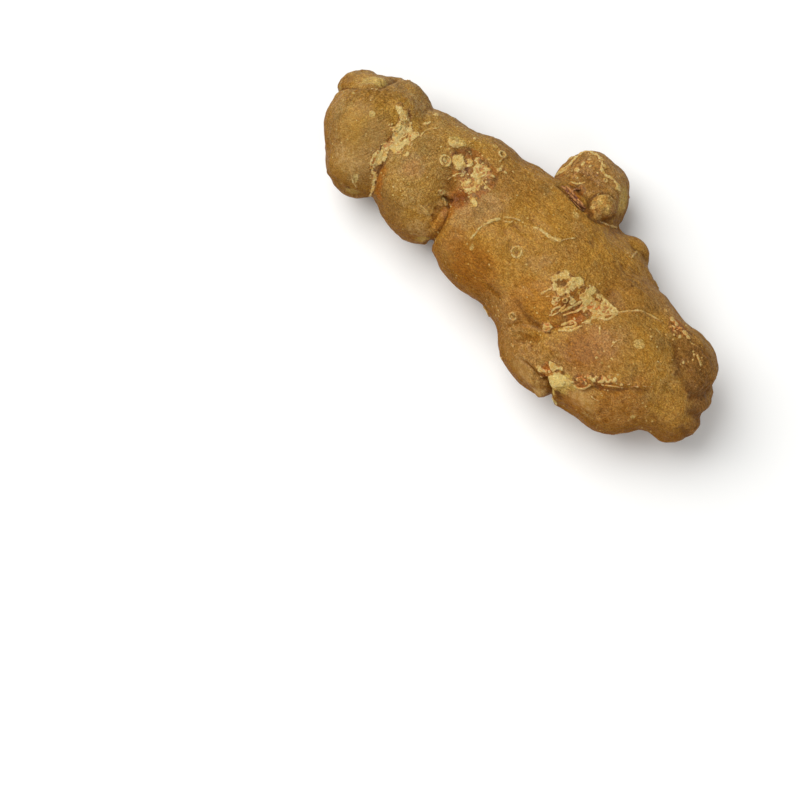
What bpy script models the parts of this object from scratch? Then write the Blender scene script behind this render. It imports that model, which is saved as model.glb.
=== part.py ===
# A fleshy rhizome lying on a flat surface. It grew as one piece, so it is one solid. Four thick
# joints follow each other along X: the crown at -X, a second short joint, the long middle joint
# and the knobbly last joint at +X. A side branch with a round bud leaves the back of the middle
# joint, at +Y. Metres, +Z up, the surface that it lies on at Z = 0.

import math
from collections import namedtuple

import bmesh
import bpy
from mathutils import Euler, Matrix, Vector

# Driving dimensions, in millimetres. The swellings are listed for a rhizome 150 mm long, and
# the whole is scaled from there.
WHOLE_LENGTH = 150.0
LISTED_LENGTH = 150.0
JOINT_WIDTH = 44.0      # across the long middle joint
JOINT_HEIGHT = 35.3     # from the surface to the top of the joints
SETTLE = 0.9            # how far the undersides are pressed flat where they bear

UNIT = 0.001 * WHOLE_LENGTH / LISTED_LENGTH
HALF_WIDTH = JOINT_WIDTH / 2
HALF_HEIGHT = (JOINT_HEIGHT + SETTLE) / 2
AXIS = HALF_HEIGHT - SETTLE

# Meshing, lengths in millimetres
VOXEL = 0.9
JOINT_SMOOTHING = 26    # rounds that blend the swellings of one joint into each other
CREASE_SMOOTHING = 7    # rounds that soften the creases between the joints
LUMP_SIZE = 17.0
LUMP_DEPTH = 1.6
KEPT_FACES = 0.075      # share of the triangles that the decimation keeps

# A swelling is an ellipsoid: its centre and its radii, and its turn about Z in degrees
Swelling = namedtuple("Swelling", "name centre radii turn", defaults=(0,))

CROWN = [
    Swelling("crown_body", (-59.5, -2.8, AXIS), (13.0, 14.0, HALF_HEIGHT)),
    Swelling("crown_foot", (-54.5, -11.0, 15.5), (10.5, 11.0, 14.5), 27),
    Swelling("crown_back", (-56.5, 5.0, 16.2), (12.0, 13.0, 16.0), -12),
    Swelling("crown_knob", (-68.0, 5.0, 17.5), (8.0, 7.8, 9.0), 20),
]
SECOND = [
    Swelling("second_body", (-36.5, -3.5, AXIS), (14.5, 17.0, HALF_HEIGHT)),
    Swelling("second_foot", (-33.0, -10.0, 15.5), (12.0, 11.8, 14.0)),
    Swelling("second_back", (-39.0, 5.4, 15.8), (14.5, 12.0, 15.0)),
    Swelling("second_neck", (-47.0, 1.6, 15.6), (9.5, 11.0, 14.6)),
]
MIDDLE = [
    Swelling("middle_neck", (-31.0, 4.6, 16.4), (16.0, 12.6, 17.0), -8),
    Swelling("middle_shoulder", (-22.0, 5.6, 16.6), (17.0, 15.0, 17.2), -6),
    Swelling("middle_front", (-8.5, -0.5, AXIS), (20.5, HALF_WIDTH, HALF_HEIGHT)),
    Swelling("middle_centre", (4.0, 1.0, AXIS), (24.0, HALF_WIDTH, HALF_HEIGHT)),
    Swelling("middle_rear", (17.0, -3.0, AXIS), (23.0, HALF_WIDTH, HALF_HEIGHT - 0.4)),
    Swelling("middle_back", (22.5, 4.3, 15.0), (27.0, 17.0, 14.5), -6),
    Swelling("middle_ridge", (24.5, 21.0, 13.0), (6.0, 4.3, 5.0), -8),
]
LAST = [
    Swelling("last_body", (41.5, -10.0, AXIS), (27.0, 19.0, HALF_HEIGHT), 20),
    Swelling("last_neck", (35.0, 2.6, 16.0), (16.0, 14.0, 16.6), 14),
    Swelling("last_back", (46.0, 1.5, 16.0), (15.0, 12.0, 15.0)),
    Swelling("last_lip", (23.0, -24.8, 15.5), (12.8, 6.8, 9.5), -14),
    Swelling("last_nose", (46.5, -17.5, 14.5), (14.5, 11.3, 13.5), 8),
    Swelling("last_corner", (56.5, 1.2, 15.8), (13.8, 12.2, 14.8), -6),
    Swelling("last_face", (58.5, -3.0, 15.6), (14.0, 11.6, 14.4), -14),
    Swelling("last_end", (61.0, -7.5, 14.5), (13.2, 10.0, 13.5), -20),
]
BRANCH = [
    Swelling("branch_body", (3.5, 27.3, 12.6), (12.2, 12.0, 12.2), 25),
    Swelling("branch_neck", (6.5, 18.5, 13.0), (13.0, 9.5, 11.0)),
    Swelling("branch_bud", (9.5, 24.3, 22.0), (5.3, 5.3, 5.3)),
]
JOINTS = {
    "crown": CROWN,
    "second_joint": SECOND,
    "middle_joint": MIDDLE,
    "last_joint": LAST,
    "side_branch": BRANCH,
}


def clear_scene():
    for old in list(bpy.data.objects):
        bpy.data.objects.remove(old, do_unlink=True)


def new_collection(name):
    collection = bpy.data.collections.new(name)
    bpy.context.scene.collection.children.link(collection)
    return collection


def placed(swelling):
    """The matrix that carries a unit sphere to a swelling."""
    return (
        Matrix.Translation(Vector(swelling.centre) * UNIT)
        @ Euler((0, 0, math.radians(swelling.turn))).to_matrix().to_4x4()
        @ Matrix.Diagonal([radius * UNIT for radius in swelling.radii] + [1])
    )


def remesh(body, name):
    modifier = body.modifiers.new(name, "REMESH")
    modifier.mode = "VOXEL"
    modifier.voxel_size = VOXEL * UNIT
    modifier.use_smooth_shade = True


def smooth(body, name, rounds):
    modifier = body.modifiers.new(name, "SMOOTH")
    modifier.factor = 0.5
    modifier.iterations = rounds


def new_body(name, shape, collection):
    mesh = bpy.data.meshes.new(name)
    shape.to_mesh(mesh)
    shape.free()
    body = bpy.data.objects.new(name, mesh)
    collection.objects.link(body)
    return body


def grown_joint(name, swellings, collection):
    """The mesh of one joint, its swellings blended into each other."""
    shape = bmesh.new()
    for swelling in swellings:
        bmesh.ops.create_icosphere(shape, subdivisions=5, radius=1, matrix=placed(swelling))
    body = new_body(name, shape, collection)
    remesh(body, "Join swellings")
    smooth(body, "Blend swellings", JOINT_SMOOTHING)
    evaluated = body.evaluated_get(bpy.context.evaluated_depsgraph_get())
    mesh = bpy.data.meshes.new_from_object(evaluated)
    bpy.data.objects.remove(body, do_unlink=True)
    return mesh


def joined_joints(name, joints, collection):
    shape = bmesh.new()
    for joint, swellings in joints.items():
        shape.from_mesh(grown_joint(joint, swellings, collection))
    body = new_body(name, shape, collection)
    remesh(body, "Join joints")
    smooth(body, "Soften creases", CREASE_SMOOTHING)
    return body


def add_lumps(body):
    clouds = bpy.data.textures.new("lumps", "CLOUDS")
    clouds.noise_scale = LUMP_SIZE * UNIT
    clouds.noise_depth = 1
    modifier = body.modifiers.new("Lumps", "DISPLACE")
    modifier.texture = clouds
    modifier.texture_coords = "LOCAL"
    modifier.strength = LUMP_DEPTH * UNIT
    modifier.mid_level = 0.5


def thin_out_facets(body):
    modifier = body.modifiers.new("Fewer facets", "DECIMATE")
    modifier.decimate_type = "COLLAPSE"
    modifier.ratio = KEPT_FACES


def add_surface_cutter(collection):
    """A block whose top is the surface that the rhizome lies on."""
    span = 2 * WHOLE_LENGTH * UNIT
    depth = 20.0 * UNIT
    bpy.ops.mesh.primitive_cube_add(size=1, location=(0, 0, -depth / 2))
    cutter = bpy.context.active_object
    cutter.name = "surface_cutter"
    cutter.scale = (span, span, depth)
    bpy.ops.object.transform_apply(location=False, rotation=False, scale=True)
    for holder in list(cutter.users_collection):
        holder.objects.unlink(cutter)
    collection.objects.link(cutter)
    cutter.hide_render = True
    cutter.display_type = "WIRE"
    return cutter


def flatten_where_it_bears(body, cutter):
    modifier = body.modifiers.new("Bearing flats", "BOOLEAN")
    modifier.operation = "DIFFERENCE"
    modifier.solver = "EXACT"
    modifier.object = cutter


def centre_over_origin(body):
    """Move the body in X and Y until the middle of its box is over the origin."""
    depsgraph = bpy.context.evaluated_depsgraph_get()
    corners = [Vector(corner) for corner in body.evaluated_get(depsgraph).bound_box]
    for axis in (0, 1):
        low = min(corner[axis] for corner in corners)
        high = max(corner[axis] for corner in corners)
        body.location[axis] = -(low + high) / 2


def skin_material():
    material = bpy.data.materials.new("rhizome_skin")
    material.use_nodes = True
    shader = material.node_tree.nodes["Principled BSDF"]
    shader.inputs["Base Color"].default_value = (0.36, 0.20, 0.055, 1)
    shader.inputs["Roughness"].default_value = 0.5
    shader.inputs["Metallic"].default_value = 0
    return material


def build():
    clear_scene()
    parts = new_collection("solomons_seal_rhizome")
    cutters = new_collection("cutters")
    cutters.hide_render = True
    body = joined_joints("rhizome", JOINTS, parts)
    body.data.materials.append(skin_material())
    add_lumps(body)
    thin_out_facets(body)
    flatten_where_it_bears(body, add_surface_cutter(cutters))
    centre_over_origin(body)


build()
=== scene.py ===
import math
import random

import bmesh
import bpy
import numpy as np
from mathutils import Matrix, Vector, noise
from mathutils.bvhtree import BVHTree


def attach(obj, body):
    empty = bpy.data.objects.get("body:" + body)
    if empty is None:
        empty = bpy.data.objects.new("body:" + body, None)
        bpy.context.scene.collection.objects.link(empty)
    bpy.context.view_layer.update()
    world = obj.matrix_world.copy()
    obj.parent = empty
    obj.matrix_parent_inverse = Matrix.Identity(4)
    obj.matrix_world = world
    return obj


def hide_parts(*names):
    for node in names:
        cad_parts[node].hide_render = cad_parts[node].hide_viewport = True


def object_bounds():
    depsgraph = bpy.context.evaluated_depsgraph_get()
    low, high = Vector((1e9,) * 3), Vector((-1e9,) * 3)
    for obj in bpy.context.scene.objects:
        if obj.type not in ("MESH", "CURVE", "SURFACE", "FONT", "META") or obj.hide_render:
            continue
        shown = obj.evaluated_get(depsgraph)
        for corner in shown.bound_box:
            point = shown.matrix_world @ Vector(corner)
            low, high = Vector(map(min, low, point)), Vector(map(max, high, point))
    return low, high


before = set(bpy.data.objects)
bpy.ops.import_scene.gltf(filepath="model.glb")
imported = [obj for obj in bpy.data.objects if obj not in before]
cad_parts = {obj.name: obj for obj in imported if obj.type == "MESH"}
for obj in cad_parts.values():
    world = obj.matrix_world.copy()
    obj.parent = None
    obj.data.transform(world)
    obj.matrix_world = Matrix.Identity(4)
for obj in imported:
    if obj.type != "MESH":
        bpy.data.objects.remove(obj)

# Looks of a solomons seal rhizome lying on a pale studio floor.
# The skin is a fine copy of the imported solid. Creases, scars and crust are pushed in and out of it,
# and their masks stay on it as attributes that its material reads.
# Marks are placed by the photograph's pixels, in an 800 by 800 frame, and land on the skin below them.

bpy.context.view_layer.update()
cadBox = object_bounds()
mm = 0.001
far = 1.0  # a distance longer than anything here
print("Frame loaded")


# Meshes and objects

def addObject(name, data):
    thing = bpy.data.objects.new(name, data)
    bpy.context.scene.collection.objects.link(thing)
    return thing


def formOf(mesh):
    form = bmesh.new()
    form.from_mesh(mesh)
    return form


def meshOf(form, name):
    mesh = bpy.data.meshes.new(name)
    form.to_mesh(mesh)
    form.free()
    return mesh


def modified(thing):
    # the mesh of an object with its modifiers applied; the object goes
    bpy.context.view_layer.update()
    seen = thing.evaluated_get(bpy.context.evaluated_depsgraph_get())
    mesh = bpy.data.meshes.new_from_object(seen)
    bpy.data.objects.remove(thing)
    return mesh


def meshPoints(mesh):
    flat, up = np.empty(len(mesh.vertices) * 3), np.empty(len(mesh.vertices) * 3)
    mesh.vertices.foreach_get("co", flat)
    mesh.vertices.foreach_get("normal", up)
    return flat.reshape(-1, 3), up.reshape(-1, 3)


def pushOut(mesh, rise):
    # moves the points along their normals by rise mm, within the solid's box
    low, high = (np.array(tuple(c)) for c in cadBox)
    moved = np.clip(points + normals * (rise * mm)[:, None], low, high)
    mesh.vertices.foreach_set("co", moved.ravel())
    mesh.update()


def surfaceOf(mesh):
    form = formOf(mesh)
    tree = BVHTree.FromBMesh(form)
    form.free()
    return tree


def keepMasks(mesh, masks):
    for name, values in masks.items():
        layer = mesh.attributes.new(name, "FLOAT", "POINT")
        layer.data.foreach_set("value", values.astype(np.float32))


def shadeSmooth(mesh):
    mesh.polygons.foreach_set("use_smooth", [True] * len(mesh.polygons))


def triangles(mesh):
    return sum(len(p.vertices) - 2 for p in mesh.polygons)


# Camera

photoView = {
    "frame": 800,  # pixels across and down
    "azimuth": 41.0,  # degrees round the rhizome
    "elevation": 77.0,  # degrees above the floor
    "distance": 0.70,  # metres, as are the aim and the nearest distance shown
    "aim": (0.00112, -0.05991, 0.0),
    "nearest": 0.01,
    "lens": 105.0,  # mm
    "sensor": 36.0,
}
focal = photoView["frame"] * photoView["lens"] / photoView["sensor"]
pixel = photoView["distance"] / focal / mm  # mm that one pixel covers


def viewAxes():
    a, e = math.radians(photoView["azimuth"]), math.radians(photoView["elevation"])
    back = Vector((math.sin(a) * math.cos(e), -math.cos(a) * math.cos(e), math.sin(e)))
    right = Vector((math.cos(a), math.sin(a), 0.0))
    return right, back.cross(right), back


viewRight, viewUp, viewBack = viewAxes()
eye = Vector(photoView["aim"]) + viewBack * photoView["distance"]


def addCamera():
    camera = addObject("photoCamera", bpy.data.cameras.new("photoCamera"))
    camera.data.lens = photoView["lens"]
    camera.data.sensor_width = photoView["sensor"]
    camera.data.clip_start = photoView["nearest"]
    turn = Matrix((viewRight, viewUp, viewBack)).transposed().to_4x4()
    camera.matrix_world = Matrix.Translation(eye) @ turn
    bpy.context.scene.camera = camera


addCamera()
print("Camera placed")


# Fine copy of the solid

skinMesh = {
    "node": "rhizome",
    "weld": 1e-6,  # metres
    "softening": 2,  # subdivisions that round the facets off
    "voxel": 0.68,  # mm
    "smoothing": 8,  # rounds
    "smoothingShare": 0.5,
    "mostTriangles": 192000,
    "splitCost": 7,  # triangles that the split of one face adds, with those beside it
}


def fineCopy():
    form = formOf(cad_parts[skinMesh["node"]].data)
    bmesh.ops.remove_doubles(form, verts=form.verts, dist=skinMesh["weld"])
    rough = addObject("roughSkin", meshOf(form, "roughSkin"))
    soften = rough.modifiers.new("Soften", "SUBSURF")
    soften.levels = soften.render_levels = skinMesh["softening"]
    even = rough.modifiers.new("Even", "REMESH")
    even.mode = "VOXEL"
    even.voxel_size = skinMesh["voxel"] * mm
    calm = rough.modifiers.new("Calm", "SMOOTH")
    calm.iterations = skinMesh["smoothing"]
    calm.factor = skinMesh["smoothingShare"]
    fine = modified(rough)
    fine.name = "rhizomeSkin"
    return fine


skin = fineCopy()
surface = surfaceOf(skin)
points, normals = meshPoints(skin)
print("Fine copy:", len(points), "points")


# Places on the skin

paths = {
    "pace": 1.5,  # pixels between the points of a line drawn over the photograph
    "onwardPace": 0.5,  # mm between the points of a line that goes on over the skin
    "ringPace": 3,  # degrees between the points of a ring
    "ringFrom": 0.045,  # metres from a joint's axis, from where a ring is dropped on the skin
    "ringDrift": 0.03,  # a degree; higher lets a ring wander along its axis more often
    "unseen": 0.15,  # skin whose normal leans less to the camera isn't shown by the photograph
    "reach": 9.0,  # mm round a path where its field is worked out
}


def curveThrough(knots, pace):
    # a smooth line through the knots, with a point about every pace
    knots = [Vector(k) for k in knots]
    line = []
    for i in range(len(knots) - 1):
        a, b = knots[i], knots[i + 1]
        before = knots[i - 1] if i else a * 2 - b
        after = knots[i + 2] if i + 2 < len(knots) else b * 2 - a
        steps = max(1, round((b - a).length / pace))
        for s in range(steps):
            t = s / steps
            bend = (before * 2 - a * 5 + b * 4 - after) * t ** 2
            bend += (a * 3 - before - b * 3 + after) * t ** 3
            line.append((a * 2 + (b - before) * t + bend) * 0.5)
    return line + [knots[-1]]


def touch(px, py):
    # the skin below a pixel of the photograph: its point and its normal
    half = photoView["frame"] / 2
    ray = viewRight * ((px - half) / focal) + viewUp * ((half - py) / focal) - viewBack
    place, normal = surface.ray_cast(eye, ray.normalized())[:2]
    return (place, normal) if place else None


def nearest(place):
    # the skin nearest to a place in mm: its point and its normal
    return surface.find_nearest(Vector(place) * mm)[:2]


def photoPath(knots):
    # a line drawn over the photograph, laid on the skin
    found = [touch(p.x, p.y) for p in curveThrough(knots, paths["pace"])]
    return [f[0] for f in found if f]


def carryOn(path, length):
    # goes straight on over the skin from the end of a path, for length mm
    pace = paths["onwardPace"] * mm
    line = list(path)
    heading = (line[-1] - line[-4]).normalized()
    for k in range(round(length * mm / pace)):
        place = surface.find_nearest(line[-1] + heading * pace)[0]
        heading = (place - line[-1]).normalized()
        line.append(place)
    return line


def ringPath(centre, axis, start, end, wobble, seed=0):
    # part of a ring round a joint, laid on the skin; degrees from the top, towards the front
    centre, axis = Vector(centre) * mm, Vector(axis).normalized()
    side = axis.cross(Vector((0, 0, 1))).normalized()
    top = side.cross(axis)
    line = []
    for degrees in range(start, end, paths["ringPace"]):
        turn = math.radians(degrees)
        out = top * math.cos(turn) + side * math.sin(turn)
        drift = axis * wobble * mm * noise.noise(Vector((degrees * paths["ringDrift"], seed * 7.3, 1.7)))
        place = surface.ray_cast(centre + drift + out * paths["ringFrom"], -out)[0]
        if place:
            line.append(place)
    return line


def unseen(path):
    # the part of a path that the photograph doesn't show
    return [p for p in path if surface.find_nearest(p)[1].dot(viewBack) < paths["unseen"]]


# Fields over the skin: one number for each of its points

def soft(value, low, high):
    t = np.clip((value - low) / (high - low), 0.0, 1.0)
    return t * t * (3 - 2 * t)


def hump(gap, width):
    return np.exp(-(gap / width) ** 2)


def lumps(size, seed, stretch=(1, 1, 1), turn=0.0):
    # smooth random field, about -1 to 1, with lumps about size mm across; stretch makes them longer
    a = math.radians(turn)
    turned = points @ np.array([
        [math.cos(a), -math.sin(a), 0],
        [math.sin(a), math.cos(a), 0],
        [0, 0, 1],
    ])
    spots = turned / np.array(stretch) / (size * mm) + seed * 3.7
    return np.array([noise.noise(s) for s in spots.tolist()])


def mixedLumps(parts):
    # lumps of several sizes together: the share, the size in mm and the seed of each
    return sum(share * lumps(size, seed) for share, size, seed in parts)


def pathField(path):
    # distance to a path in mm, share of the way along it, and its side, +1 on the left seen from outside
    gap = np.full(len(points), far / mm)
    share, side = np.zeros(len(points)), np.zeros(len(points))
    if len(path) < 2:
        return gap, share, side
    line = np.array([tuple(p) for p in path])
    reach = paths["reach"] * mm
    close = (points > line.min(0) - reach) & (points < line.max(0) + reach)
    close = np.all(close, axis=1).nonzero()[0]
    here, up = points[close], normals[close]
    best = np.full(len(close), far)
    for k in range(len(line) - 1):
        step = line[k + 1] - line[k]
        length = step @ step
        if length < 1e-14:
            continue
        t = np.clip(((here - line[k]) @ step) / length, 0.0, 1.0)
        off = here - line[k] - t[:, None] * step
        d = np.sqrt((off * off).sum(1))
        nearer = d < best
        best[nearer] = d[nearer]
        share[close[nearer]] = (k + t[nearer]) / (len(line) - 1)
        side[close[nearer]] = np.sign((np.cross(step, off[nearer]) * up[nearer]).sum(1))
    gap[close] = best / mm
    return gap, share, side


def ovalField(spot, wide, tall=None, turn=0.0):
    # distance from a spot in shares of an oval's radii, which are given in mm
    if not spot:
        return np.full(len(points), far / mm)
    place, normal = spot
    tall = tall or wide
    a = math.radians(turn)
    along = viewRight * math.cos(a) - viewUp * math.sin(a)
    if abs(along.dot(normal)) > 0.95:
        along = viewUp
    along = (along - normal * along.dot(normal)).normalized()
    across = normal.cross(along)
    off = (points - np.array(place)) / mm
    u, v, w = off @ np.array(along), off @ np.array(across), off @ np.array(normal)
    return np.sqrt((u / wide) ** 2 + (v / tall) ** 2 + (w / max(wide, tall)) ** 2)


# Tools that press marks into the skin

maskNames = ["stain", "pale", "dark", "warm", "yellow", "sleek", "rough", "oldAndShaded", "paintedLight", "deepShade"]
markForms = {
    "meltRate": 2.4,  # a mm; lower melts spots of crust together from further away
    "fade": 0.12,  # share of a line over which each of its ends fades
    "lip": 0.2,  # height of a crease's lips, in shares of its depth
    "lipAt": 2.0,  # in shares of the crease's width
    "lipWidth": 0.9,
    "darkWidth": 0.55,
    "stepWidth": 0.35,  # mm on each side of the line, over which a step rises
    "stepReach": 5.0,  # mm over which the skin beside a step comes down again
    "lineRise": 0.1,  # mm
    "rim": (0.12, 0.12),  # half the width of a scar's rim: mm, and shares of its radius
    "spotHeights": (0.12, 0.08),  # mm that a pale disc stands out, and that its middle lies lower
    "crumbRadius": (0.22, 0.5),  # mm
    "crumbNarrowness": (0.4, 1),
    "noise": [(0.7, 1.9, 31), (0.4, 0.8, 32)],  # makes lines and rims thicker and thinner
}


def startMarks():
    global height, crustSum, threadEdge, masks, marksNoise
    height = np.zeros(len(points))  # mm, out of the skin
    crustSum = np.full(len(points), 1e-12)
    threadEdge = np.full(len(points), far / mm)  # mm outside the nearest thread, rim or crumb of cork
    masks = {name: np.zeros(len(points)) for name in maskNames}
    marksNoise = mixedLumps(markForms["noise"])


def addCrust(outside):
    # outside: mm outside a spot or a band of crust
    crustSum[:] += np.exp(-markForms["meltRate"] * outside)


def crustEdge():
    # mm outside the crust, whose spots melt together where they are close
    return -np.log(crustSum) / markForms["meltRate"]


def addThread(outside):
    # outside: mm outside a thread, a rim or a crumb of cork
    np.minimum(threadEdge, outside, out=threadEdge)


def stamp(name, amount):
    # brings a mask up to an amount
    masks[name] = np.maximum(masks[name], amount)


def fadedEnds(share, part=markForms["fade"]):
    return soft(share, 0, part) * soft(1 - share, 0, part)


def crease(path, width, depth, tint=0.5):
    # a fold with a low lip on each side, dark at the bottom: painted shade, with the dark of the crack
    gap, share = pathField(path)[:2]
    ends = fadedEnds(share)
    lip = hump(gap - markForms["lipAt"] * width, markForms["lipWidth"] * width)
    height[:] += depth * ends * (markForms["lip"] * lip - hump(gap, width))
    stamp("dark", tint * ends * hump(gap, markForms["darkWidth"] * width))


def fill(path, width, rise):
    # a raised band of skin
    gap, share = pathField(path)[:2]
    height[:] += rise * fadedEnds(share, 0.25) * hump(gap, width)


def stepUp(path, rise):
    # skin that stands higher on the left of a path
    gap, share, side = pathField(path)
    signed = np.where(gap < paths["reach"], gap * side, -paths["reach"])
    raised = soft(signed, -markForms["stepWidth"], markForms["stepWidth"])
    slope = hump(np.maximum(signed, 0), markForms["stepReach"])
    height[:] += rise * fadedEnds(share) * raised * slope


def paleLine(path, width):
    # a thin raised line, thicker here and thinner there
    gap, share = pathField(path)[:2]
    line = fadedEnds(share, 0.06) * hump(gap, width * (1.25 + 0.9 * marksNoise))
    height[:] += markForms["lineRise"] * line
    stamp("pale", line)


def thread(path, width):
    # a thread of cork that lies on the skin
    gap, share = pathField(path)[:2]
    addThread(gap - width * (0.8 * fadedEnds(share, 0.08) + 0.8 * marksNoise))


def rootScar(spot, radius, rise=0.2):
    # a rim of cork round a small pit
    q = ovalField(spot, radius) + 0.06 * marksNoise
    height[:] += rise * (hump(q - 1, 0.3) - 0.8 * soft(0.85 - q, 0, 0.6))
    stamp("pale", hump(q - 1, 0.3) * (0.8 + 0.4 * marksNoise))
    stamp("pale", 0.5 * soft(0.95 - q, 0, 0.3))
    stamp("dark", 0.25 * soft(0.4 - q, 0, 0.3))
    least, share = markForms["rim"]
    addThread(abs(q - 1) * radius - (least + share * radius) * (1 + 0.4 * marksNoise))


def paleSpot(spot, wide, tall=None, turn=0.0):
    # a low pale disc with a slightly brighter edge
    q = ovalField(spot, wide, tall, turn) + 0.15 * marksNoise
    rise, sink = markForms["spotHeights"]
    height[:] += rise * soft(1.2 - q, 0, 0.35) - sink * soft(0.8 - q, 0, 0.5)
    stamp("pale", soft(1.2 - q, 0, 0.5) * (0.66 + 0.25 * hump(q - 0.95, 0.25) + 0.4 * marksNoise))


def bulge(spot, radius, rise):
    height[:] += rise * hump(ovalField(spot, radius), 1)


def crumb(spot, draw):
    # a small loose flake of cork
    radius = draw.uniform(*markForms["crumbRadius"])
    narrowness = draw.uniform(*markForms["crumbNarrowness"])
    addThread((ovalField(spot, radius, radius * narrowness, draw.uniform(0, 180)) - 1) * radius)


def pressMarks(marks):
    # every mark of one joint: places and radii in pixels of the photograph, the widths of lines, their
    # onward lengths and all heights in mm
    draw = random.Random(marks["crumbSeed"])
    for x, y, spread, count in marks.get("crumbs", []):
        for k in range(count):
            crumb(touch(draw.gauss(x, spread), draw.gauss(y, spread)), draw)
    for path, width, depth, onward in marks.get("creases", []):
        crease(carryOn(photoPath(path), onward), width, depth)
    for path, width, rise in marks.get("fills", []):
        fill(photoPath(path), width, rise)
    for path, rise in marks.get("steps", []):
        stepUp(photoPath(path), rise)
    for path, width in marks.get("paleLines", []):
        line = photoPath(path)
        paleLine(line, width)
        thread(line, width)
    for x, y, radius in marks.get("rootScars", []):
        rootScar(touch(x, y), radius * pixel)
    for x, y, wide, tall, turn in marks.get("paleSpots", []):
        paleSpot(touch(x, y), wide * pixel, tall * pixel, turn)
    for x, y, radius, rise in marks.get("bulges", []):
        bulge(touch(x, y), radius * pixel, rise)
    for x, y, radius in marks.get("crust", []):
        addCrust((ovalField(touch(x, y), radius * pixel) - 1) * radius * pixel)
    for path, width in marks.get("crustBands", []):
        addCrust(pathField(photoPath(path))[0] - width)
    for path, width in marks.get("crustLines", []):
        thread(photoPath(path), width)
    for name in maskNames:
        for x, y, radius, amount in marks.get(name, []):
            stamp(name, amount * soft(1.35 - ovalField(touch(x, y), radius * pixel), 0, 0.7))


# Crown, with the old stem end as a cap on it

crown = {
    "crumbSeed": 3,
    "crumbs": [
        (396, 142, 8, 14), (404, 120, 6, 8), (415, 136, 8, 7), (360, 130, 22, 6), (374, 176, 4, 5),
    ],
    "fills": [([(410, 92), (405, 112), (402, 132), (390, 150), (378, 163)], 4.2, 2.4)],
    "creases": [
        ([(372, 197), (374, 190), (376, 180), (380, 170), (385, 160), (393, 152), (401, 143), (407, 132),
          (409, 122), (405, 111), (400, 102)], 0.8, 0.3, 0),
        ([(343, 88), (352, 87), (362, 88), (377, 88), (383, 86), (387, 82)], 1.0, 0.8, 9),
        ([(352, 87), (347, 87.5), (343, 88), (338, 90)], 1.0, 0.6, 12),
    ],
    "paleLines": [
        ([(366, 201), (371, 194), (373, 188)], 0.35),
        ([(370, 90), (374, 89), (378, 90)], 0.4),
        ([(351, 172), (353, 181), (357, 188)], 0.3),
    ],
    "rootScars": [(402, 133, 5.0)],
    "paleSpots": [
        (372, 114, 3.5, 3.5, 0), (344, 93, 2.0, 1.5, 0), (354, 94, 2.0, 1.5, 0), (355, 179, 3.0, 7.0, 15),
    ],
    "crust": [
        (398, 109, 2.4), (402, 114, 4.0), (405, 119, 4.6), (401, 125, 5.0), (408, 123, 3.4),
        (400, 131, 6.4), (410, 129, 2.6), (391, 129, 2.2), (396, 138, 4.4), (394, 146, 5.4),
        (401, 146, 4.2), (408, 142, 3.6), (413, 137, 3.8), (417, 134, 2.6), (388, 150, 5.4),
        (384, 147, 4.6), (379, 156, 5.6), (387, 158, 5.0), (376, 161, 4.6), (372, 166, 2.4),
        (373, 172, 2.0), (375, 178, 2.0), (373, 184, 1.5), (426, 124, 2.0), (436, 115, 2.8),
        (399, 153, 2.6), (408, 155, 2.2), (430, 122, 1.6),
    ],
    "crustBands": [
        ([(398, 108), (403, 115), (406, 122), (403, 130), (400, 138), (396, 144), (389, 150), (382, 156),
          (377, 162)], 0.85),
        ([(416, 134), (409, 140), (403, 145), (398, 150)], 0.45),
        ([(374, 161), (372, 166), (373, 172), (375, 178), (374, 186), (372, 192)], 0.4),
    ],
    "stain": [(403, 120, 10, 0.7), (396, 142, 12, 0.9), (384, 158, 12, 0.9), (376, 170, 7, 0.8)],
    "dark": [(376, 165, 2.4, 0.7), (384, 166, 2.2, 0.6), (348, 188, 2.4, 0.8), (397, 139, 2.5, 0.6)],
    # orange of the flesh: its own orange on small spots, and a painted glow of light through the flesh at
    # the crown's lower edge
    "warm": [
        (380, 182, 8, 1.0), (379, 194, 7, 1.0), (384, 171, 6, 0.8), (413, 136, 3, 0.8),
        (384, 151, 2.5, 0.7),
    ],
    "yellow": [(380, 82, 8, 0.4), (370, 81, 8, 0.35), (338, 90, 6, 0.3), (352, 192, 7, 0.3)],
    "bulges": [
        (403, 81, 14, -1.8), (364, 70, 10, -0.8), (385, 151, 4, 0.4), (398, 126, 4, 0.3),
        (376, 80, 8, 0.5),
    ],
    "sleek": [(362, 128, 22, 0.5), (350, 158, 18, 0.5)],
    "rough": [
        (356, 97, 10, 0.8), (370, 95, 10, 0.9), (385, 96, 12, 1.0), (400, 98, 12, 0.6),
        (414, 108, 12, 0.3), (396, 142, 10, 0.6),
    ],
    # pale painted glare, and painted light on parts that curve away from the light
    "paintedLight": [(345, 160, 14, 0.45), (352, 175, 8, 0.4), (340, 110, 9, 0.2), (418, 106, 14, 0.7)],
    # painted shade: darker deep amber under the cap's crease and where the crown turns away from the light
    "deepShade": [
        (352, 95, 9, 0.5), (366, 94, 10, 0.5), (382, 94, 10, 0.35), (398, 94, 12, 0.2),
        (346, 81, 10, 0.7), (362, 92, 8, 0.4),
    ],
}

# Second joint, with the crust over its fold to the middle one

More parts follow.
